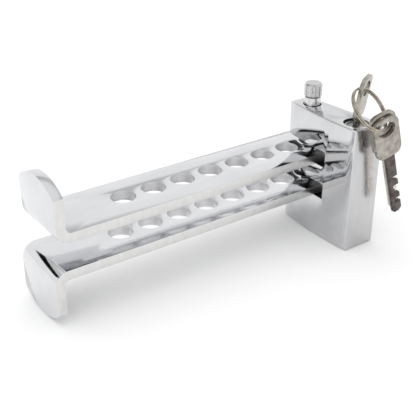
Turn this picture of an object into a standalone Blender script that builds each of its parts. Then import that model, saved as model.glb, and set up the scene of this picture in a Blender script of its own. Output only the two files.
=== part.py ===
"""Adjustable pedal lock: two hooked flat bars held in a steel lock body.

World frame, metres. +X runs along the bars from the hooks to the lock body, +Z is up and the
origin is on the underside of the body, straight below the axis of the locking bolt.
"""
import math

import bmesh
import bpy
from mathutils import Matrix, Vector

# Hook bars, bent from flat steel.
PITCH = 0.0175
HOLE_COUNT = 8
HOLE_RADIUS = 0.0064
BAR_WIDTH = 0.035
BAR_THICKNESS = 0.005
BAR_TAIL = 0.0105
HOOK_REACH = 0.0448
HOOK_STRAIGHT = 0.0178
HOOK_CROWN = 0.0062
BEND_RADIUS = 0.002
UPPER_BAR_TOP = 0.048
LOWER_BAR_TOP = 0.029
BAR_SIDE_SHIFT = 0.0012
BAR_END_SHIFT = 0.0012

# Lock body, a little thicker at the key side and with a gently crowned front face.
BODY_HEIGHT = 0.0705
FAR_SIDE = 0.0105
NEAR_SIDE = -0.043
FRONT_FAR = -0.0066
FRONT_NEAR = -0.0092
BACK_FAR = 0.0068
BACK_NEAR = 0.0111
FRONT_CROWN = 0.0018
BODY_EDGE = 0.0008

# Slots for the bars, open at the far side.
SLOT_END = -0.0227
SLOT_HEADROOM = 0.0036
RUNNING_GAP = 0.0003

# Locking bolt, its cap, its spring and the pin that keeps it in.
BOLT_RADIUS = 0.0045
BOLT_BORE = 0.0051
BOLT_TRAVEL = 0.0108
BOLT_TIP = UPPER_BAR_TOP + 0.0005
CAP_RADIUS = 0.00495
CAP_BOTTOM = BODY_HEIGHT + 0.0048
CAP_TOP = BODY_HEIGHT + 0.0123
CAP_RIBS = 26
CROSS_PIN_RADIUS = 0.0011
CROSS_PIN_HEIGHT = 0.0555
BOLT_SLOT_WIDTH = 0.0027
BOLT_CAVITY = 0.0023
BOLT_SPRING_WIRE = 0.00025
BOLT_SPRING_RADIUS = 0.0017
BOLT_SPRING_TURNS = 7

# Follower pin that the bolt pushes into the lower bar, and its spring.
FOLLOWER_TOP = 0.0425
FOLLOWER_TIP = LOWER_BAR_TOP + 0.0005
FOLLOWER_RADIUS = 0.004
FOLLOWER_HEAD = 0.0015
FOLLOWER_HEAD_RADIUS = 0.0048
FOLLOWER_BORE = 0.0042
FOLLOWER_LEDGE = 0.0342
FOLLOWER_SOCKET = 0.0195
FOLLOWER_SPRING_WIRE = 0.00025
FOLLOWER_SPRING_RADIUS = 0.00455
FOLLOWER_SPRING_TURNS = 4

# Latch plunger between the key cylinder and the bolt.
LATCH_HEIGHT = 0.0558
LATCH_TRAVEL = 0.0024
LATCH_TIP = -0.0056
LATCH_NOSE_RADIUS = 0.0013
LATCH_NOSE_END = -0.013
LATCH_RADIUS = 0.0022
LATCH_BODY_END = -0.0266
LATCH_FOOT_GAP = 0.00255
LATCH_BORE = 0.0025
LATCH_NOTCH_DEPTH = 0.0016
LATCH_SPRING_WIRE = 0.0002
LATCH_SPRING_RADIUS = 0.00185
LATCH_SPRING_TURNS = 6

# Key cylinder.
CYLINDER_X = -0.0005
CYLINDER_Y = -0.0343
CYLINDER_BORE = 0.0068
CYLINDER_FLOOR = 0.0370
HOUSING_RADIUS = 0.0065
HOUSING_WALL = 0.0015
HOUSING_TOP = 0.0694
HOUSING_BOTTOM = 0.0475
PLUG_RADIUS = 0.0048
PLUG_TOP = 0.0688
PLUG_BOTTOM = 0.0456
CAM_RADIUS = 0.0021
CAM_OFFSET = 0.0026
CAM_ANGLE = math.radians(162)
CAM_HEIGHT = 0.0034
KEYWAY_WIDTH = 0.0066
KEYWAY_THICKNESS = 0.0026
WAFER_HEIGHTS = (0.0489, 0.0518, 0.0601, 0.0630, 0.0659)
WAFER_THICKNESS = 0.0009
WAFER_LENGTH = 0.0086
WAFER_WIDTH = 0.0038
CLIP_HEIGHT = 0.0466
CLIP_THICKNESS = 0.0006
SCREW_RADIUS = 0.002
SCREW_HEIGHT = 0.062
KEY_TURN = math.radians(28)

# Keys: bow above, blade below, drawn in their own plane with the bow hole at the origin.
KEY_THICKNESS = 0.0022
BOW_WIDTH = 0.0162
BOW_ABOVE_HOLE = 0.0062
BOW_BELOW_HOLE = 0.0165
BOW_CORNER = 0.0045
BOW_HOLE_WIDTH = 0.0110
BOW_HOLE_HEIGHT = 0.0080
BLADE_WIDTH = 0.0058
BLADE_LENGTH = 0.0356
BLADE_CUTS = ((0.0131, 0.0156), (0.0188, 0.0240), (0.0270, 0.0294))
BLADE_CUT_DEPTH = 0.0036
KEY_HOLE_HEIGHT = 0.0903
KEY_BEND_HEIGHT = 0.0702
KEY_LEAN = math.radians(8)

# Split ring: it hooks round the near side of the bow and hangs out past the body's side.
RING_WIRE = 0.00055
RING_RADIUS = 0.0122
RING_TURNS = 2
RING_STEP = 0.0012
RING_HALF_CHORD = 0.0085
RING_HOOK_ACROSS = -0.0085
RING_HOOK_UP = -0.0020
RING_ROLL = math.radians(-10)
RING_DROOP = math.radians(40)

# The spare keys hang side by side from the ring, their flat sides along the body's side.
HANG_HOLE = Vector((0.00330, -0.05124, 0.07161))
HANG_TURN = math.radians(-6)
HANG_LEAN = math.radians(16)
HANG_SPACING = 0.0026
HANG_RISE = 0.0020

ROUND_STEPS = 32
COIL_STEPS = 12


# ---------------------------------------------------------------- scene and materials

for leftover in list(bpy.data.objects):
    bpy.data.objects.remove(leftover, do_unlink=True)

parts = bpy.data.collections.new("pedal_lock")
cutters = bpy.data.collections.new("pedal_lock_cutters")
bpy.context.scene.collection.children.link(parts)
bpy.context.scene.collection.children.link(cutters)


def finish(name, colour, roughness, metallic=1.0):
    """A plain Principled material."""
    material = bpy.data.materials.new(name)
    material.use_nodes = True
    shader = material.node_tree.nodes["Principled BSDF"]
    shader.inputs["Base Color"].default_value = (*colour, 1.0)
    shader.inputs["Roughness"].default_value = roughness
    shader.inputs["Metallic"].default_value = metallic
    return material


CHROME = finish("polished_chrome", (0.80, 0.81, 0.83), 0.06)
SATIN_STEEL = finish("satin_steel", (0.62, 0.62, 0.62), 0.32)
NICKEL = finish("nickel_plate", (0.66, 0.62, 0.57), 0.22)
SPRING_STEEL = finish("spring_steel", (0.45, 0.45, 0.46), 0.35)
BRASS = finish("lock_brass", (0.72, 0.56, 0.30), 0.30)
DARK_STEEL = finish("blackened_steel", (0.10, 0.10, 0.11), 0.45)


def place(obj, material, cutter=False):
    """Put an object in its collection with its finish."""
    if cutter:
        cutters.objects.link(obj)
        obj.hide_render = True
        obj.display_type = "WIRE"
    else:
        parts.objects.link(obj)
        obj.data.materials.append(material)
        obj.data.shade_smooth()
        obj.data.set_sharp_from_angle(angle=math.radians(35))
    return obj


# ---------------------------------------------------------------- solid shapes

def box(name, low, high, material=None):
    """An upright box between two corners; a cutter when it has no material."""
    low, high = Vector(low), Vector(high)
    shape = bmesh.new()
    bmesh.ops.create_cube(shape, size=1.0)
    bmesh.ops.scale(shape, vec=high - low, verts=shape.verts)
    mesh = bpy.data.meshes.new(name)
    shape.to_mesh(mesh)
    shape.free()
    obj = bpy.data.objects.new(name, mesh)
    obj.location = (low + high) / 2
    return place(obj, material, cutter=material is None)


def rod(name, radius, start, end, material=None, steps=ROUND_STEPS):
    """A plain cylinder from start to end; a cutter when it has no material."""
    start, end = Vector(start), Vector(end)
    shape = bmesh.new()
    bmesh.ops.create_cone(shape, cap_ends=True, segments=steps, radius1=radius, radius2=radius,
                          depth=(end - start).length)
    mesh = bpy.data.meshes.new(name)
    shape.to_mesh(mesh)
    shape.free()
    obj = bpy.data.objects.new(name, mesh)
    obj.location = (start + end) / 2
    obj.rotation_euler = (end - start).to_track_quat("Z", "Y").to_euler()
    return place(obj, material, cutter=material is None)


def turned(name, profile, material, closed=False, steps=ROUND_STEPS):
    """A turned shape: (radius, height) points run down the outer side, from top to bottom."""
    points = [(radius, 0.0, height) for radius, height in profile]
    edges = [(i, i + 1) for i in range(len(points) - 1)]
    if closed:
        edges.append((len(points) - 1, 0))
    mesh = bpy.data.meshes.new(name)
    mesh.from_pydata(points, edges, [])
    obj = bpy.data.objects.new(name, mesh)
    place(obj, material)
    screw = obj.modifiers.new("turn", "SCREW")
    screw.angle = math.tau
    screw.steps = steps
    screw.render_steps = steps
    screw.use_merge_vertices = True
    screw.merge_threshold = 0.00001
    return obj


def plate(name, outline, thickness, material=None, holes=()):
    """A flat plate cut to a closed outline in XY, centred on its thickness."""
    curve = bpy.data.curves.new(name, "CURVE")
    curve.dimensions = "2D"
    curve.fill_mode = "BOTH"
    curve.extrude = thickness / 2
    for loop in (outline, *holes):
        spline = curve.splines.new("POLY")
        spline.points.add(len(loop) - 1)
        for point, (x, y) in zip(spline.points, loop):
            point.co = (x, y, 0.0, 1.0)
        spline.use_cyclic_u = True
    drawn = bpy.data.objects.new(name, curve)
    bpy.context.scene.collection.objects.link(drawn)
    return to_mesh(drawn, name, material)


def to_mesh(drawn, name, material):
    """Turn a curve object into a welded mesh object and remove the curve."""
    depsgraph = bpy.context.evaluated_depsgraph_get()
    mesh = bpy.data.meshes.new_from_object(drawn.evaluated_get(depsgraph))
    matrix = drawn.matrix_world.copy()
    bpy.data.objects.remove(drawn, do_unlink=True)
    shape = bmesh.new()
    shape.from_mesh(mesh)
    bmesh.ops.remove_doubles(shape, verts=shape.verts, dist=0.000001)
    bmesh.ops.recalc_face_normals(shape, faces=shape.faces)
    bmesh.ops.dissolve_limit(shape, angle_limit=0.001, verts=shape.verts, edges=shape.edges)
    shape.to_mesh(mesh)
    shape.free()
    mesh.name = name
    mesh.materials.clear()
    obj = bpy.data.objects.new(name, mesh)
    obj.matrix_world = matrix
    return place(obj, material, cutter=material is None)


def coil(name, wire, path, material):
    """A round wire along a list of points."""
    curve = bpy.data.curves.new(name, "CURVE")
    curve.dimensions = "3D"
    curve.bevel_depth = wire
    curve.bevel_resolution = 2
    curve.use_fill_caps = True
    spline = curve.splines.new("POLY")
    spline.points.add(len(path) - 1)
    for point, position in zip(spline.points, path):
        point.co = (*position, 1.0)
    drawn = bpy.data.objects.new(name, curve)
    bpy.context.scene.collection.objects.link(drawn)
    return to_mesh(drawn, name, material)


def helix(radius, length, turns, steps=COIL_STEPS):
    """Points of a helix that climbs +Z from the origin."""
    count = turns * steps
    return [(radius * math.cos(math.tau * i / steps), radius * math.sin(math.tau * i / steps),
             length * i / count) for i in range(count + 1)]


def arc(centre_x, centre_y, radius, start, end, steps):
    """Points on an arc, with the angles in degrees."""
    angles = [math.radians(start + (end - start) * i / steps) for i in range(steps + 1)]
    return [(centre_x + radius * math.cos(a), centre_y + radius * math.sin(a)) for a in angles]


def boolean(obj, cutter, operation="DIFFERENCE"):
    """Cut an object with a guide, by the exact solver."""
    modifier = obj.modifiers.new(cutter.name, "BOOLEAN")
    modifier.operation = operation
    modifier.solver = "EXACT"
    modifier.object = cutter


def in_plug_frame(obj):
    """Carry an object drawn about the origin to the cylinder's axis, turned with the key."""
    bpy.context.view_layer.update()
    turn = Matrix.Translation((CYLINDER_X, CYLINDER_Y, 0.0)) @ Matrix.Rotation(KEY_TURN, 4, "Z")
    obj.matrix_world = turn @ obj.matrix_world


# ---------------------------------------------------------------- lock body

def crowned_front():
    """The front face's points, from the far side to the near side."""
    steps = 12
    points = []
    for i in range(steps + 1):
        across = i / steps
        straight = FRONT_FAR + (FRONT_NEAR - FRONT_FAR) * across
        crown = 4 * FRONT_CROWN * across * (1 - across)
        points.append((straight - crown, FAR_SIDE + (NEAR_SIDE - FAR_SIDE) * across))
    return points


def lock_body():
    """The solid body with its slots, bores and channels."""
    outline = crowned_front() + [(BACK_NEAR, NEAR_SIDE), (BACK_FAR, FAR_SIDE)]
    body = plate("lock_body", outline, BODY_HEIGHT, CHROME)
    body.location.z = BODY_HEIGHT / 2
    edge = body.modifiers.new("edges", "BEVEL")
    edge.width = BODY_EDGE
    edge.segments = 2
    edge.limit_method = "ANGLE"
    edge.angle_limit = math.radians(40)
    for name, top in (("upper_slot", UPPER_BAR_TOP), ("lower_slot", LOWER_BAR_TOP)):
        low = (-0.02, SLOT_END, top - BAR_THICKNESS - RUNNING_GAP)
        boolean(body, box(name, low, (0.02, 0.03, top + SLOT_HEADROOM)))
    up = BODY_HEIGHT + 0.01
    boolean(body, rod("bolt_bore", BOLT_BORE, (0, 0, FOLLOWER_LEDGE), (0, 0, up)))
    boolean(body, rod("follower_bore", FOLLOWER_BORE, (0, 0, FOLLOWER_SOCKET), (0, 0, 0.05)))
    axis = (CYLINDER_X, CYLINDER_Y)
    boolean(body, rod("cylinder_bore", CYLINDER_BORE, (*axis, CYLINDER_FLOOR), (*axis, up)))
    boolean(body, rod("latch_bore", LATCH_BORE, (0, CYLINDER_Y, LATCH_HEIGHT),
                      (0, -0.0075, LATCH_HEIGHT), steps=24))
    boolean(body, rod("latch_nose_bore", LATCH_NOSE_RADIUS + 0.0002, (0, -0.02, LATCH_HEIGHT),
                      (0, -0.001, LATCH_HEIGHT), steps=24))
    boolean(body, rod("cross_pin_hole", CROSS_PIN_RADIUS + 0.0002, (-0.0062, 0, CROSS_PIN_HEIGHT),
                      (0.02, 0, CROSS_PIN_HEIGHT), steps=16))
    boolean(body, rod("screw_hole", SCREW_RADIUS + 0.0002, (0.005, CYLINDER_Y, SCREW_HEIGHT),
                      (0.02, CYLINDER_Y, SCREW_HEIGHT), steps=24))


# ---------------------------------------------------------------- hook bars

def hook_bar(name, bar_top, shift, up):
    """A bar with eight holes and a rounded hook bent up (up = 1) or down (up = -1)."""
    last_hole = shift
    first_hole = last_hole - (HOLE_COUNT - 1) * PITCH
    hook_face = first_hole - HOOK_REACH
    tail = last_hole + BAR_TAIL
    outer = BEND_RADIUS + BAR_THICKNESS
    height = BAR_THICKNESS + HOOK_STRAIGHT + HOOK_CROWN
    bend_x = hook_face + outer
    side = [(tail, 0.0), (tail, BAR_THICKNESS)]
    side += arc(bend_x, outer, BEND_RADIUS, 270, 180, 6)
    side += [(hook_face + BAR_THICKNESS, height), (hook_face, height)]
    side += arc(bend_x, outer, outer, 180, 270, 8)
    bar = plate(name, side, BAR_WIDTH, CHROME)

    half = BAR_WIDTH / 2
    crown_radius = (half ** 2 + HOOK_CROWN ** 2) / (2 * HOOK_CROWN)
    spread = math.degrees(math.asin(half / crown_radius))
    straight_top = BAR_THICKNESS + HOOK_STRAIGHT
    front = [(-half - 0.001, straight_top), (-half - 0.001, -0.001)]
    front += [(half + 0.001, -0.001), (half + 0.001, straight_top)]
    front += arc(0.0, straight_top + HOOK_CROWN - crown_radius, crown_radius,
                 90 - spread, 90 + spread, 20)
    guide = plate(name + "_outline", front, 0.6)
    guide.matrix_world = Matrix.Rotation(math.pi / 2, 4, "Z") @ Matrix.Rotation(math.pi / 2, 4, "X")
    bar_turn = Matrix.Rotation(math.pi / 2 * up, 4, "X")
    base = bar_top - BAR_THICKNESS if up > 0 else bar_top
    lift = Matrix.Translation((0.0, BAR_SIDE_SHIFT, base))
    flip = Matrix.Identity(4) if up > 0 else Matrix.Rotation(math.pi, 4, "X")
    bar.matrix_world = lift @ bar_turn
    guide.matrix_world = lift @ flip @ guide.matrix_world
    boolean(bar, guide, "INTERSECT")
    for index in range(HOLE_COUNT):
        x = first_hole + index * PITCH
        drill = rod(f"{name}_hole_{index + 1}", HOLE_RADIUS, (x, BAR_SIDE_SHIFT, base - 0.02),
                    (x, BAR_SIDE_SHIFT, base + 0.02))
        boolean(bar, drill)


# ---------------------------------------------------------------- locking bolt and follower

def locking_bolt():
    """The hollow bolt, its ribbed cap, its spring and the fixed cross pin."""
    bolt = turned("lock_bolt", [
        (0.0, CAP_BOTTOM - RUNNING_GAP),
        (BOLT_RADIUS, CAP_BOTTOM - RUNNING_GAP),
        (BOLT_RADIUS, BOLT_TIP + 0.0006),
        (BOLT_RADIUS - 0.0006, BOLT_TIP),
        (0.0, BOLT_TIP),
    ], CHROME)
    slot_low = CROSS_PIN_HEIGHT - CROSS_PIN_RADIUS - 0.0002
    slot_high = CROSS_PIN_HEIGHT + BOLT_TRAVEL + CROSS_PIN_RADIUS + 0.0002
    boolean(bolt, rod("bolt_cavity", BOLT_CAVITY, (0, 0, slot_low), (0, 0, CAP_TOP), steps=24))
    half = BOLT_SLOT_WIDTH / 2
    boolean(bolt, box("bolt_slot", (-0.01, -half, slot_low), (0.01, half, slot_high)))
    notch_face = -BOLT_RADIUS + LATCH_NOTCH_DEPTH
    for name, height in (("open_notch", LATCH_HEIGHT), ("locked_notch", LATCH_HEIGHT + BOLT_TRAVEL)):
        low = (-0.01, -0.01, height - LATCH_NOSE_RADIUS - 0.0003)
        high = (0.01, notch_face, height + LATCH_NOSE_RADIUS + 0.0003)
        boolean(bolt, box(name, low, high))

    turned("bolt_cap", [
        (0.0, CAP_TOP),
        (CAP_RADIUS - 0.0012, CAP_TOP),
        (CAP_RADIUS, CAP_TOP - 0.0010),
        (CAP_RADIUS, CAP_BOTTOM + 0.0006),
        (CAP_RADIUS - 0.0004, CAP_BOTTOM),
        (0.0, CAP_BOTTOM),
    ], SATIN_STEEL, steps=CAP_RIBS * 2)
    spring_low = CROSS_PIN_HEIGHT + CROSS_PIN_RADIUS + BOLT_SPRING_WIRE + 0.0002
    spring_high = CAP_BOTTOM - BOLT_SPRING_WIRE - RUNNING_GAP
    path = helix(BOLT_SPRING_RADIUS, spring_high - spring_low, BOLT_SPRING_TURNS)
    spring = coil("bolt_spring", BOLT_SPRING_WIRE, path, SPRING_STEEL)
    spring.location.z = spring_low
    rod("bolt_cross_pin", CROSS_PIN_RADIUS, (-0.006, 0, CROSS_PIN_HEIGHT),
        (0.0068, 0, CROSS_PIN_HEIGHT), SPRING_STEEL, steps=16)


def follower():
    """The follower pin under the upper bar, and the spring that lifts it."""
    turned("follower_pin", [
        (0.0, FOLLOWER_TOP),
        (FOLLOWER_HEAD_RADIUS, FOLLOWER_TOP),
        (FOLLOWER_HEAD_RADIUS, FOLLOWER_TOP - FOLLOWER_HEAD),
        (FOLLOWER_RADIUS, FOLLOWER_TOP - FOLLOWER_HEAD),
        (FOLLOWER_RADIUS, FOLLOWER_TIP + 0.0006),
        (FOLLOWER_RADIUS - 0.0006, FOLLOWER_TIP),
        (0.0, FOLLOWER_TIP),
    ], SATIN_STEEL)
    low = FOLLOWER_LEDGE + FOLLOWER_SPRING_WIRE + 0.0001
    high = FOLLOWER_TOP - FOLLOWER_HEAD - FOLLOWER_SPRING_WIRE - 0.0001
    path = helix(FOLLOWER_SPRING_RADIUS, high - low, FOLLOWER_SPRING_TURNS, steps=24)
    spring = coil("follower_spring", FOLLOWER_SPRING_WIRE, path, SPRING_STEEL)
    spring.location.z = low


# ---------------------------------------------------------------- latch

def latch():
    """The turned latch plunger, lying along Y, and its return spring."""
    along = Matrix.Translation((0, 0, LATCH_HEIGHT)) @ Matrix.Rotation(-math.pi / 2, 4, "X")
    foot_end = CYLINDER_Y + LATCH_FOOT_GAP
    plunger = turned("latch_plunger", [
        (0.0, LATCH_TIP),
        (LATCH_NOSE_RADIUS - 0.0004, LATCH_TIP),
        (LATCH_NOSE_RADIUS, LATCH_TIP - 0.0005),
        (LATCH_NOSE_RADIUS, LATCH_NOSE_END),
        (LATCH_RADIUS, LATCH_NOSE_END),
        (LATCH_RADIUS, LATCH_BODY_END),
        (LATCH_NOSE_RADIUS, LATCH_BODY_END),
        (LATCH_NOSE_RADIUS, foot_end + 0.0004),
        (LATCH_NOSE_RADIUS - 0.0004, foot_end),
        (0.0, foot_end),
    ], SATIN_STEEL, steps=24)
    plunger.matrix_world = along
    low = LATCH_NOSE_END + LATCH_SPRING_WIRE + 0.0001
    high = -0.0075 - LATCH_SPRING_WIRE - 0.0001
    path = helix(LATCH_SPRING_RADIUS, high - low, LATCH_SPRING_TURNS)
    spring = coil("latch_spring", LATCH_SPRING_WIRE, path, SPRING_STEEL)
    spring.matrix_world = along @ Matrix.Translation((0, 0, low))


# ---------------------------------------------------------------- key cylinder

def key_cylinder():
    """The housing, the turning plug with its cam neck, the wafers, the clip and the screw."""
    inner = HOUSING_RADIUS - HOUSING_WALL
    housing = turned("cylinder_housing", [
        (HOUSING_RADIUS - 0.0003, HOUSING_TOP),
        (HOUSING_RADIUS, HOUSING_TOP - 0.0003),
        (HOUSING_RADIUS, HOUSING_BOTTOM),
        (inner, HOUSING_BOTTOM),
        (inner, HOUSING_TOP),
    ], SATIN_STEEL, closed=True)
    housing.location = (CYLINDER_X, CYLINDER_Y, 0.0)
    boolean(housing, rod("housing_window", LATCH_NOSE_RADIUS + 0.0003,
                         (0, CYLINDER_Y + 0.002, LATCH_HEIGHT), (0, -0.02, LATCH_HEIGHT), steps=24))

    plug = turned("cylinder_plug", [
        (0.0, PLUG_TOP),
        (PLUG_RADIUS - 0.0003, PLUG_TOP),
        (PLUG_RADIUS, PLUG_TOP - 0.0003),
        (PLUG_RADIUS, CLIP_HEIGHT + 0.0005),
        (PLUG_RADIUS - 0.0008, CLIP_HEIGHT + 0.0005),
        (PLUG_RADIUS - 0.0008, CLIP_HEIGHT - 0.0005),
        (PLUG_RADIUS, CLIP_HEIGHT - 0.0005),
        (PLUG_RADIUS, PLUG_BOTTOM),
        (0.0, PLUG_BOTTOM),
    ], SATIN_STEEL)
    neck_guide = rod("cam_groove", PLUG_RADIUS + 0.001, (0, 0, LATCH_HEIGHT - CAM_HEIGHT / 2),
                     (0, 0, LATCH_HEIGHT + CAM_HEIGHT / 2))
    core_x, core_y = CAM_OFFSET * math.cos(CAM_ANGLE), CAM_OFFSET * math.sin(CAM_ANGLE)
    neck_core = rod("cam_core", CAM_RADIUS, (core_x, core_y, 0.04), (core_x, core_y, 0.07), steps=24)
    boolean(neck_guide, neck_core)
    keyway = box("keyway", (-KEYWAY_WIDTH / 2, -KEYWAY_THICKNESS / 2, 0.04),
                 (KEYWAY_WIDTH / 2, KEYWAY_THICKNESS / 2, 0.08))
    slots = [box(f"wafer_slot_{i + 1}", (-0.008, -WAFER_WIDTH / 2 - 0.0001, z - 0.0006),
                 (0.008, WAFER_WIDTH / 2 + 0.0001, z + 0.0006))
             for i, z in enumerate(WAFER_HEIGHTS)]
    for guide in (neck_guide, keyway, *slots):
        boolean(plug, guide)
    for obj in (plug, neck_guide, neck_core, keyway, *slots):
        in_plug_frame(obj)

    window = [(x * (KEYWAY_WIDTH / 2), y * (KEYWAY_THICKNESS / 2))
              for x, y in ((-1, -1), (1, -1), (1, 1), (-1, 1))]
    blank = [(x * WAFER_LENGTH / 2, y * WAFER_WIDTH / 2)
             for x, y in ((-1, -1), (1, -1), (1, 1), (-1, 1))]
    for index, height in enumerate(WAFER_HEIGHTS):
        wafer = plate(f"wafer_{index + 1}", blank, WAFER_THICKNESS, BRASS, holes=[window])
        wafer.location.z = height
        in_plug_frame(wafer)

    clip_outer = arc(0, 0, 0.0060, 30, 330, 24)
    clip_inner = arc(0, 0, PLUG_RADIUS - 0.0006, 330, 30, 24)
    clip = plate("plug_retaining_clip", clip_outer + clip_inner, CLIP_THICKNESS, SPRING_STEEL)
    clip.location = (CYLINDER_X, CYLINDER_Y, CLIP_HEIGHT)

    screw_start = (CYLINDER_X + HOUSING_RADIUS + 0.0003, CYLINDER_Y, SCREW_HEIGHT)
    screw = rod("cylinder_grub_screw", SCREW_RADIUS, screw_start,
                (0.0099, CYLINDER_Y, SCREW_HEIGHT), DARK_STEEL, steps=24)
    boolean(screw, rod("screw_socket", 0.001, (0.0085, CYLINDER_Y, SCREW_HEIGHT),
                       (0.02, CYLINDER_Y, SCREW_HEIGHT), steps=6))


# ---------------------------------------------------------------- keys and ring

def key_outline():
    """A key in its own plane, with the bow hole's centre at the origin and the blade down."""
    inner = BOW_WIDTH / 2 - BOW_CORNER
    top = BOW_ABOVE_HOLE - BOW_CORNER
    shoulder = -BOW_BELOW_HOLE
    low = shoulder + BOW_CORNER
    points = arc(inner, top, BOW_CORNER, 0, 90, 6)
    points += arc(-inner, top, BOW_CORNER, 90, 180, 6)
    points += arc(-inner, low, BOW_CORNER, 180, 270, 6)
    edge = BLADE_WIDTH / 2
    end = shoulder - BLADE_LENGTH
    points += [(-edge, shoulder), (-edge, end + 0.001), (-edge + 0.001, end)]
    points += [(edge - 0.002, end), (edge, end + 0.0015)]
    for near, far in reversed(BLADE_CUTS):
        below, above = shoulder - far, shoulder - near
        points += [(edge, below), (edge - BLADE_CUT_DEPTH, below)]
        points += [(edge - BLADE_CUT_DEPTH, above), (edge, above)]
    points += [(edge, shoulder)]
    points += arc(inner, low, BOW_CORNER, 270, 360, 6)
    return points


def key(name, frame):
    """One key: the bow hole's centre is at the frame's origin and the blade runs down its -Z."""
    steps = 24
    hole = [(BOW_HOLE_WIDTH / 2 * math.cos(math.tau * i / steps),
             BOW_HOLE_HEIGHT / 2 * math.sin(math.tau * i / steps)) for i in range(steps)]
    piece = plate(name, key_outline(), KEY_THICKNESS, NICKEL, holes=[hole])
    piece.matrix_world = frame @ Matrix.Rotation(math.pi / 2, 4, "X")
    return piece


def bend_bow(piece):
    """Lean the bow sideways, from a bend line across the neck of the blade."""
    line = KEY_BEND_HEIGHT - KEY_HOLE_HEIGHT
    shape = bmesh.new()
    shape.from_mesh(piece.data)
    geometry = shape.verts[:] + shape.edges[:] + shape.faces[:]
    bmesh.ops.bisect_plane(shape, geom=geometry, plane_co=(0, line, 0), plane_no=(0, 1, 0))
    bow = [vert for vert in shape.verts if vert.co.y > line + 0.0001]
    bmesh.ops.rotate(shape, cent=(0, line, 0), matrix=Matrix.Rotation(KEY_LEAN, 3, "X"), verts=bow)
    shape.to_mesh(piece.data)
    shape.free()


def ring_frame():
    """The split ring's frame: X towards its hanging end, Y along its chord, Z its own axis."""
    turn = Matrix.Rotation(KEY_TURN, 3, "Z")
    across = turn @ Vector((1, 0, 0))
    outward = turn @ Vector((0, -1, 0))
    up = Vector((0, 0, 1)) * math.cos(KEY_LEAN) + outward * math.sin(KEY_LEAN)
    face = outward * math.cos(KEY_LEAN) - Vector((0, 0, 1)) * math.sin(KEY_LEAN)
    bend = Vector((CYLINDER_X, CYLINDER_Y, KEY_BEND_HEIGHT))
    hook = bend + up * (KEY_HOLE_HEIGHT - KEY_BEND_HEIGHT + RING_HOOK_UP)
    hook += across * RING_HOOK_ACROSS
    chord = -across * math.cos(RING_ROLL) + up * math.sin(RING_ROLL)
    down = -across * math.sin(RING_ROLL) - up * math.cos(RING_ROLL)
    hang = face * math.cos(RING_DROOP) + down * math.sin(RING_DROOP)
    frame = Matrix((hang, chord, hang.cross(chord))).transposed().to_4x4()
    frame.translation = hook + hang * math.sqrt(RING_RADIUS ** 2 - RING_HALF_CHORD ** 2)
    return frame


def keys_and_ring():
    """The key in the cylinder, the split ring hooked round its bow, and two hanging keys."""
    in_lock = Matrix.Translation((CYLINDER_X, CYLINDER_Y, KEY_HOLE_HEIGHT))
    bend_bow(key("key_in_lock", in_lock @ Matrix.Rotation(KEY_TURN, 4, "Z")))

    steps = 32
    count = RING_TURNS * steps - 2
    path = []
    for i in range(count + 1):
        angle = math.tau * (i + 1) / steps
        rise = RING_STEP * (angle / math.tau - RING_TURNS / 2)
        path.append((RING_RADIUS * math.cos(angle), RING_RADIUS * math.sin(angle), rise))
    ring = coil("split_ring", RING_WIRE, path, NICKEL)
    ring.matrix_world = ring_frame()

    turn = Matrix.Rotation(HANG_TURN, 4, "Z")
    inward = turn @ Vector((0, 1, 0))
    for index, name in enumerate(("spare_key_1", "spare_key_2")):
        hole = HANG_HOLE + index * (HANG_SPACING * inward + HANG_RISE * Vector((0, 0, 1)))
        key(name, Matrix.Translation(hole) @ turn @ Matrix.Rotation(-HANG_LEAN, 4, "Y"))


lock_body()
hook_bar("upper_hook_bar", UPPER_BAR_TOP, BAR_END_SHIFT, 1)
hook_bar("lower_hook_bar", LOWER_BAR_TOP, -BAR_END_SHIFT, -1)
locking_bolt()
follower()
latch()
key_cylinder()
keys_and_ring()
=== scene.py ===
import math

import bmesh
import bpy
from mathutils import Matrix, Vector


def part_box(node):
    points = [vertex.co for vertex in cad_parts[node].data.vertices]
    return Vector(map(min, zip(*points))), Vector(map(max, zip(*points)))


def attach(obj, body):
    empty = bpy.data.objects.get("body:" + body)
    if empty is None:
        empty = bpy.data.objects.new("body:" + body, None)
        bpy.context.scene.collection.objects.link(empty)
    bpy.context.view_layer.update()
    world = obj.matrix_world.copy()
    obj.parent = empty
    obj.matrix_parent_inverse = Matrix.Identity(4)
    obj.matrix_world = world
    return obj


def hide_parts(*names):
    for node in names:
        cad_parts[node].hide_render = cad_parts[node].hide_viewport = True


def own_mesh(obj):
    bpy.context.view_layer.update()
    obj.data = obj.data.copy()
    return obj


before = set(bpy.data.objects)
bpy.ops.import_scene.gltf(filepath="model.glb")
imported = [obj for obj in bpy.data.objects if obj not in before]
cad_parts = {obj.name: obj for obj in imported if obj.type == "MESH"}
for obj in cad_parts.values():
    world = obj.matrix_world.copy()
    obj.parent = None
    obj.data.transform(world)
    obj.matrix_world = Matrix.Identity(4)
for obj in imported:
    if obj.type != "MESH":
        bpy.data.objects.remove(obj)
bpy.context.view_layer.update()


# ---------------------------------------------------------------- lock body
# The body is one chromed block, rounded at its edges, with a gently crowned front. Its near side
# is brushed, and the slots and bores inside it are painted near black as their shade.

def linked(material, kind, **inputs):
    """Add a node to a material and set or link its inputs by name."""
    node = material.node_tree.nodes.new(kind)
    for name, value in inputs.items():
        socket = node.inputs[name.replace("_", " ")]
        if isinstance(value, bpy.types.NodeSocket):
            material.node_tree.links.new(value, socket)
        else:
            socket.default_value = value
    return node


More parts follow.
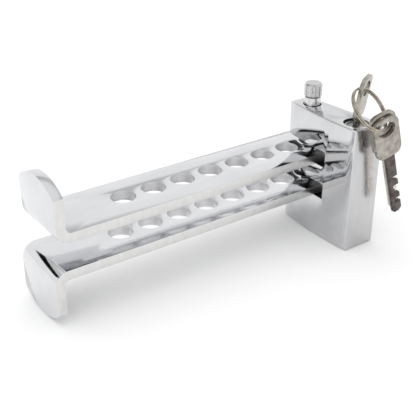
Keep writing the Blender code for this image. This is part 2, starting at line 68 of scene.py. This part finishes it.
def plated_metal(name, light, dark, smooth, rough, grain, stretch=(1, 1, 1), dents=0.0, detail=4.0):
    """A metal finish with cloudy colour, uneven polish and a fine surface grain."""
    material = bpy.data.materials.new(name)
    material.use_nodes = True
    links = material.node_tree.links
    shader = material.node_tree.nodes["Principled BSDF"]
    shader.inputs["Metallic"].default_value = 1.0
    place = linked(material, "ShaderNodeTexCoord").outputs["Object"]
    spread = linked(material, "ShaderNodeMapping", Vector=place, Scale=stretch)
    cloud = linked(material, "ShaderNodeTexNoise", Vector=spread.outputs["Vector"], Scale=grain,
                   Detail=detail, Roughness=0.6)
    tint = linked(material, "ShaderNodeValToRGB", Fac=cloud.outputs["Fac"])
    tint.color_ramp.elements[0].position = 0.35
    tint.color_ramp.elements[0].color = (*dark, 1)
    tint.color_ramp.elements[1].position = 0.65
    tint.color_ramp.elements[1].color = (*light, 1)
    links.new(tint.outputs["Color"], shader.inputs["Base Color"])
    wear = linked(material, "ShaderNodeMapRange", Value=cloud.outputs["Fac"])
    wear.inputs["From Min"].default_value = 0.3
    wear.inputs["From Max"].default_value = 0.7
    wear.inputs["To Min"].default_value = smooth
    wear.inputs["To Max"].default_value = rough
    links.new(wear.outputs["Result"], shader.inputs["Roughness"])
    if dents:
        fine = linked(material, "ShaderNodeTexNoise", Vector=spread.outputs["Vector"],
                      Scale=grain * 5, Detail=2.0)
        bump = linked(material, "ShaderNodeBump", Height=fine.outputs["Fac"], Strength=dents,
                      Distance=0.0002)
        links.new(bump.outputs["Normal"], shader.inputs["Normal"])
    return material


def rounded_copy(node, body, materials, width, pick=None, segments=2):
    """The node's shape as a shown piece with rounded edges; pick chooses a face's material."""
    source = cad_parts[node]
    shape = bmesh.new()
    shape.from_mesh(source.data)
    bmesh.ops.remove_doubles(shape, verts=shape.verts, dist=0.000002)
    bmesh.ops.dissolve_limit(shape, angle_limit=math.radians(0.5), verts=shape.verts,
                             edges=shape.edges)
    sharp = [edge for edge in shape.edges
             if len(edge.link_faces) == 2 and edge.calc_face_angle() > math.radians(35)]
    bmesh.ops.bevel(shape, geom=sharp, offset=width, offset_type="OFFSET", segments=segments,
                    affect="EDGES", profile=0.5, clamp_overlap=True, material=-1)
    bmesh.ops.triangulate(shape, faces=[face for face in shape.faces if len(face.verts) > 4])
    for face in shape.faces:
        face.smooth = True
        face.material_index = pick(face) if pick else 0
    mesh = bpy.data.meshes.new(node + "_finish")
    shape.to_mesh(mesh)
    shape.free()
    for material in materials:
        mesh.materials.append(material)
    mesh.set_sharp_from_angle(angle=math.radians(32))
    piece = bpy.data.objects.new(node + "_finish", mesh)
    bpy.context.scene.collection.objects.link(piece)
    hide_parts(node)
    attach(piece, body)
    return piece


mirror_chrome = plated_metal("mirror_chrome", (0.68, 0.69, 0.70), (0.61, 0.61, 0.62), 0.05, 0.09,
                             60, dents=0.05)
brushed_chrome = plated_metal("brushed_chrome", (0.61, 0.61, 0.62), (0.55, 0.55, 0.55), 0.20, 0.30,
                              220, stretch=(1, 1, 0.15), dents=0.25)
# Near-black steel painted on the walls of the slots and bores, standing in for their shade.
slot_painted_shade = plated_metal("slot_painted_shade", (0.07, 0.07, 0.07), (0.03, 0.03, 0.03), 0.35, 0.55,
                            260, dents=0.2)
body_low, body_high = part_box("lock_body")
SQUARE_ON = 0.9
SIDE_DEPTH = 0.002
SKIN_DEPTH = 0.0012
CROWN_START = 0.004
CROWN_FACING = 0.4


def body_finish_and_painted_shade(face):
    """The outside is mirror bright but for the brushed near side; slots and bores get painted shade."""
    centre = face.calc_center_median()
    if face.normal.y < -SQUARE_ON and centre.y < body_low.y + SIDE_DEPTH:
        return 1
    skin = (centre.z > body_high.z - SKIN_DEPTH or centre.z < body_low.z + SKIN_DEPTH
            or centre.y > body_high.y - SKIN_DEPTH or centre.y < body_low.y + SKIN_DEPTH)
    crown = centre.x > CROWN_START and face.normal.x > CROWN_FACING
    # Faces inside the slots and bores take index 2, the painted shade.
    return 0 if skin or crown or abs(face.normal.x) > SQUARE_ON else 2


rounded_copy("lock_body", "body", (mirror_chrome, brushed_chrome, slot_painted_shade), 0.0003,
             pick=body_finish_and_painted_shade)


# ---------------------------------------------------------------- hook bars
# Both bars are the same flat bar, drilled, bent at one end and chromed; the lower one is turned
# over. Their long edges are satin and a little warmer than the tops, and the holes' walls are dull.

bar_chrome = plated_metal("bar_chrome", (0.73, 0.735, 0.75), (0.68, 0.685, 0.70), 0.07, 0.13,
                          90, stretch=(0.4, 1, 1), dents=0.06)
sheared_edge = plated_metal("sheared_edge", (0.74, 0.737, 0.73), (0.68, 0.677, 0.67), 0.30, 0.40,
                            420, stretch=(1, 1, 0.4), dents=0.25)
drilled_wall = plated_metal("drilled_wall", (0.82, 0.82, 0.83), (0.74, 0.74, 0.75), 0.42, 0.55,
                            500, stretch=(1, 1, 4), dents=0.2)


EDGE_DEPTH = 0.0012
HOLE_REACH = 0.0066
UPRIGHT = 0.3
HOOK_LENGTH = 0.02
END_MARGIN = 0.002


def bar_finish(bar):
    """The flat sides and the hook are polished, the long sides satin and the holes' walls dull."""
    low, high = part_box(bar)
    edge = (high.y - low.y) / 2 - EDGE_DEPTH
    middle = (high.y + low.y) / 2

    def pick(face):
        centre = face.calc_center_median()
        if abs(centre.y - middle) > edge and abs(face.normal.y) > SQUARE_ON:
            return 1
        inside = abs(face.normal.z) < UPRIGHT and abs(centre.y - middle) < HOLE_REACH
        return 2 if inside and low.x + HOOK_LENGTH < centre.x < high.x - END_MARGIN else 0
    return pick


for bar, body in (("upper_hook_bar", "upper_bar"), ("lower_hook_bar", "lower_bar")):
    rounded_copy(bar, body, (bar_chrome, sheared_edge, drilled_wall), 0.00045,
                 pick=bar_finish(bar))


# ---------------------------------------------------------------- locking bolt and cap
# The bolt is a plated rod with a cap on its top. The cap's side is fluted for the thumb and its
# top edge is chamfered.

bolt_steel = plated_metal("bolt_steel", (0.72, 0.72, 0.73), (0.62, 0.62, 0.63), 0.10, 0.20,
                          300, stretch=(1, 1, 4), dents=0.1)
cap_steel = plated_metal("cap_steel", (0.66, 0.66, 0.66), (0.52, 0.52, 0.52), 0.20, 0.34,
                         500, dents=0.3)
rounded_copy("lock_bolt", "bolt", (bolt_steel,), 0.00015)

cap_low, cap_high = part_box("bolt_cap")
cap_radius = (cap_high.x - cap_low.x) / 2
cap_levels = ((cap_low.z, 0.88, False), (cap_low.z + 0.0004, 0.94, False),
              (cap_low.z + 0.0006, 1.0, True), (cap_high.z - 0.0013, 1.0, True),
              (cap_high.z - 0.0011, 0.97, False), (cap_high.z - 0.0002, 0.88, False),
              (cap_high.z, 0.82, False))
CAP_STEPS = 192
HALF_FLUTES = 8
FLUTE_DEPTH = 0.07
cap_shape = bmesh.new()
rim = bmesh.ops.create_circle(cap_shape, cap_ends=False, segments=CAP_STEPS, radius=cap_radius)["verts"]
bottom_edges = cap_shape.edges[:]
edges = bottom_edges
for vert in rim:
    vert.co *= cap_levels[0][1]
    vert.co.z = cap_levels[0][0]
for height, spread, ribbed in cap_levels[1:]:
    grown = bmesh.ops.extrude_edge_only(cap_shape, edges=edges)["geom"]
    edges = [item for item in grown if isinstance(item, bmesh.types.BMEdge)]
    rim = [item for item in grown if isinstance(item, bmesh.types.BMVert)]
    for vert in rim:
        angle = math.atan2(vert.co.y, vert.co.x)
        tooth = abs(math.cos(angle * HALF_FLUTES))
        reach = cap_radius * spread * (1.0 - FLUTE_DEPTH * tooth ** 3 if ribbed else 1.0)
        vert.co = (reach * math.cos(angle), reach * math.sin(angle), height)
bmesh.ops.edgeloop_fill(cap_shape, edges=edges)
bmesh.ops.edgeloop_fill(cap_shape, edges=bottom_edges)
bmesh.ops.recalc_face_normals(cap_shape, faces=cap_shape.faces)
for face in cap_shape.faces:
    face.smooth = len(face.verts) == 4
cap_mesh = bpy.data.meshes.new("knurled_cap")
cap_shape.to_mesh(cap_mesh)
cap_shape.free()
cap_mesh.materials.append(cap_steel)
cap_mesh.set_sharp_from_angle(angle=math.radians(30))
knurled_cap = bpy.data.objects.new("knurled_cap", cap_mesh)
bpy.context.scene.collection.objects.link(knurled_cap)
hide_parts("bolt_cap")
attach(knurled_cap, "bolt")


# ---------------------------------------------------------------- pins, springs and latch
# The follower pin, the latch plunger and the cross pin are turned steel, left bright. The clip and
# the springs are drawn wire and strip. The grub screw is blackened.

turned_steel = plated_metal("turned_steel", (0.60, 0.60, 0.60), (0.48, 0.48, 0.48), 0.22, 0.36,
                            400, stretch=(1, 1, 5), dents=0.2)
spring_wire = plated_metal("spring_wire", (0.46, 0.46, 0.48), (0.34, 0.34, 0.35), 0.25, 0.40,
                           600, dents=0.15)
black_oxide = plated_metal("black_oxide", (0.11, 0.11, 0.12), (0.06, 0.06, 0.06), 0.35, 0.55,
                           500, dents=0.2)
for name in ("follower_pin", "latch_plunger", "bolt_cross_pin"):
    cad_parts[name].material_slots[0].material = turned_steel
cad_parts["plug_retaining_clip"].material_slots[0].material = spring_wire
SPRINGS = (("bolt_spring", "bolt", "bolt_press", Vector((0, 0, -0.0108))),
           ("follower_spring", "follower", "follower_drop", Vector((0, 0, -0.005))),
           ("latch_spring", "latch", "latch_throw", Vector((0, 0.0024, 0))))
for spring, body, joint, travel in SPRINGS:
    coil = rounded_copy(spring, body, (spring_wire,), 0.00002)
    low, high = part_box(spring)
    heading = travel.normalized()
    reach = Vector([abs(part) for part in heading])
    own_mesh(coil)
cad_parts["cylinder_grub_screw"].material_slots[0].material = black_oxide


# ---------------------------------------------------------------- key cylinder
# The cylinder is a satin sleeve, a turning plug with the key slot, and brass wafers. The plug's
# face sits a little below the top of the sleeve.

sleeve_steel = plated_metal("sleeve_steel", (0.50, 0.50, 0.51), (0.36, 0.36, 0.37), 0.18, 0.32,
                            350, dents=0.2)
plug_face = plated_metal("plug_face", (0.52, 0.51, 0.50), (0.30, 0.29, 0.28), 0.24, 0.42,
                         450, stretch=(3, 1, 1), dents=0.35)
wafer_brass = plated_metal("wafer_brass", (0.74, 0.58, 0.30), (0.60, 0.45, 0.22), 0.22, 0.36,
                           500, dents=0.1)
rounded_copy("cylinder_housing", "body", (sleeve_steel,), 0.0002)
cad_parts["cylinder_plug"].material_slots[0].material = plug_face
for number in range(1, 6):
    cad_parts[f"wafer_{number}"].material_slots[0].material = wafer_brass


# ---------------------------------------------------------------- keys
# The three keys are the same blank, nickel plated, with a big oval hole in the bow. One spare
# key's blade is painted much darker than its bow as painted shade, and the blade behind it is
# painted paler as painted light.

key_nickel = plated_metal("key_nickel", (0.47, 0.44, 0.40), (0.28, 0.26, 0.23), 0.18, 0.34,
                          260, dents=0.35)
# A nickel blade painted near black, standing in for shade.
blade_painted_shade = plated_metal("blade_painted_shade", (0.16, 0.14, 0.13), (0.07, 0.06, 0.06), 0.22, 0.40,
                         300, dents=0.2)
# A nickel blade painted pale, standing in for light.
blade_painted_light = plated_metal("blade_painted_light", (0.86, 0.80, 0.72), (0.72, 0.66, 0.58), 0.20, 0.32,
                        260, dents=0.2)


def painted_blade_pick(shoulder):
    """Faces below the shoulder of the bow take the blade's painted colour: shade on one key, light on
    the other.
    """
    return lambda face: 1 if face.calc_center_median().z < shoulder else 0


SHOULDER_SHARE = 0.60
rounded_copy("key_in_lock", "lock_key", (key_nickel, key_nickel), 0.00035)
for name, body, blade in (("spare_key_1", "spare_key_a", blade_painted_shade),
                          ("spare_key_2", "spare_key_b", blade_painted_light)):
    low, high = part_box(name)
    shoulder = low.z + (high.z - low.z) * SHOULDER_SHARE
    rounded_copy(name, body, (key_nickel, blade), 0.00035, pick=painted_blade_pick(shoulder))


# ---------------------------------------------------------------- split ring
# The ring is two turns of wire lying flat together. It is nickel plated, a little warmer than
# the keys.

ring_nickel = plated_metal("ring_nickel", (0.52, 0.47, 0.40), (0.34, 0.30, 0.25), 0.14, 0.26,
                           300, dents=0.1)
rounded_copy("split_ring", "ring", (ring_nickel,), 0.0001)


# ---------------------------------------------------------------- floor, light and camera
# A wide pale floor, a white surround with a slightly darker band, a black card that only shows in
# reflections, two large soft lamps, and a camera that looks down on the lock from the hook side.

floor_height = min(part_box("lower_hook_bar")[0].z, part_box("lock_body")[0].z) - 0.0002
floor_shape = bmesh.new()
bmesh.ops.create_grid(floor_shape, x_segments=1, y_segments=1, size=4.0)
bmesh.ops.translate(floor_shape, verts=floor_shape.verts, vec=(0, 0, floor_height))
floor_mesh = bpy.data.meshes.new("studio_floor")
floor_shape.to_mesh(floor_mesh)
floor_shape.free()
paper = bpy.data.materials.new("white_paper")
paper.use_nodes = True
paper_shader = paper.node_tree.nodes["Principled BSDF"]
paper_shader.inputs["Base Color"].default_value = (0.97, 0.97, 0.97, 1)
paper_shader.inputs["Roughness"].default_value = 0.9
floor_mesh.materials.append(paper)
floor = bpy.data.objects.new("studio_floor", floor_mesh)
bpy.context.scene.collection.objects.link(floor)

flag_cloth = bpy.data.materials.new("black_flag")
flag_cloth.use_nodes = True
flag_cloth.node_tree.nodes["Principled BSDF"].inputs["Base Color"].default_value = (0, 0, 0, 1)
flag_cloth.node_tree.nodes["Principled BSDF"].inputs["Specular IOR Level"].default_value = 0.0
flag_shape = bmesh.new()
bmesh.ops.create_grid(flag_shape, x_segments=1, y_segments=1, size=0.5)
bmesh.ops.scale(flag_shape, verts=flag_shape.verts, vec=(1.0, 0.34, 1.0))
flag_facing = Vector((-0.44, 0.71, 0.51)).normalized()
flag_shape.transform(Matrix.Translation(Vector((-0.165, -0.02, 0.02)) + flag_facing * 1.3)
                     @ flag_facing.to_track_quat("Z", "Y").to_matrix().to_4x4())
flag_mesh = bpy.data.meshes.new("dark_flag")
flag_shape.to_mesh(flag_mesh)
flag_shape.free()
flag_mesh.materials.append(flag_cloth)
flag = bpy.data.objects.new("dark_flag", flag_mesh)
flag.visible_camera = False
flag.visible_shadow = False
flag.visible_diffuse = False
bpy.context.scene.collection.objects.link(flag)

surround = bpy.data.worlds.new("white_surround")
surround.use_nodes = True
surround_nodes = surround.node_tree.nodes
direction = surround_nodes.new("ShaderNodeTexCoord")
parts_of_direction = surround_nodes.new("ShaderNodeSeparateXYZ")
brightness = surround_nodes.new("ShaderNodeValToRGB")
steps = brightness.color_ramp.elements
steps[0].position = 0.0
steps[0].color = (1, 1, 1, 1)
steps[1].position = 1.0
steps[1].color = (0.95, 0.95, 0.95, 1)
for height, level in ((0.56, 1.0), (0.66, 0.62), (0.74, 0.62), (0.86, 0.92)):
    stop = steps.new(height)
    stop.color = (level, level, level, 1)
surround.node_tree.links.new(direction.outputs["Generated"], parts_of_direction.inputs["Vector"])
surround.node_tree.links.new(parts_of_direction.outputs["Z"], brightness.inputs["Fac"])
surround.node_tree.links.new(brightness.outputs["Color"],
                             surround_nodes["Background"].inputs["Color"])
surround_nodes["Background"].inputs["Strength"].default_value = 1.02
bpy.context.scene.world = surround
bpy.context.scene.view_settings.view_transform = "Standard"


def soft_lamp(name, place, target, size, power):
    """A large square lamp aimed at a point."""
    lamp = bpy.data.lights.new(name, "AREA")
    lamp.size = size
    lamp.energy = power
    holder = bpy.data.objects.new(name, lamp)
    holder.location = place
    holder.rotation_euler = (Vector(target) - Vector(place)).to_track_quat("-Z", "Y").to_euler()
    holder.visible_glossy = False
    bpy.context.scene.collection.objects.link(holder)


soft_lamp("top_light", (-0.2, 0.2, 1.2), (-0.06, 0, 0), 1.4, 5.0)
soft_lamp("front_light", (-0.9, -0.9, 0.8), (-0.06, 0, 0), 1.0, 1.5)

CAMERA_PLACE = (-0.29896, -0.31180, 0.22928)
AZIMUTH = math.radians(36.784)
DOWN = math.radians(27.211)
TILT = math.radians(0.623)
forward = Vector((math.sin(AZIMUTH) * math.cos(DOWN), math.cos(AZIMUTH) * math.cos(DOWN),
                  -math.sin(DOWN)))
right = forward.cross(Vector((0, 0, 1))).normalized()
upward = right.cross(forward)
tilted_right = right * math.cos(TILT) + upward * math.sin(TILT)
tilted_up = upward * math.cos(TILT) - right * math.sin(TILT)
lens = bpy.data.cameras.new("camera")
lens.lens = 71.15
lens.sensor_width = 36.0
lens.shift_x = -0.0187
lens.shift_y = -0.0146
lens.clip_start = 0.01
lens.clip_end = 20.0
camera = bpy.data.objects.new("camera", lens)
camera.matrix_world = Matrix.Translation(CAMERA_PLACE) @ Matrix(
    (tilted_right, tilted_up, -forward)).transposed().to_4x4()
bpy.context.scene.collection.objects.link(camera)
bpy.context.scene.camera = camera

bpy.context.view_layer.update()
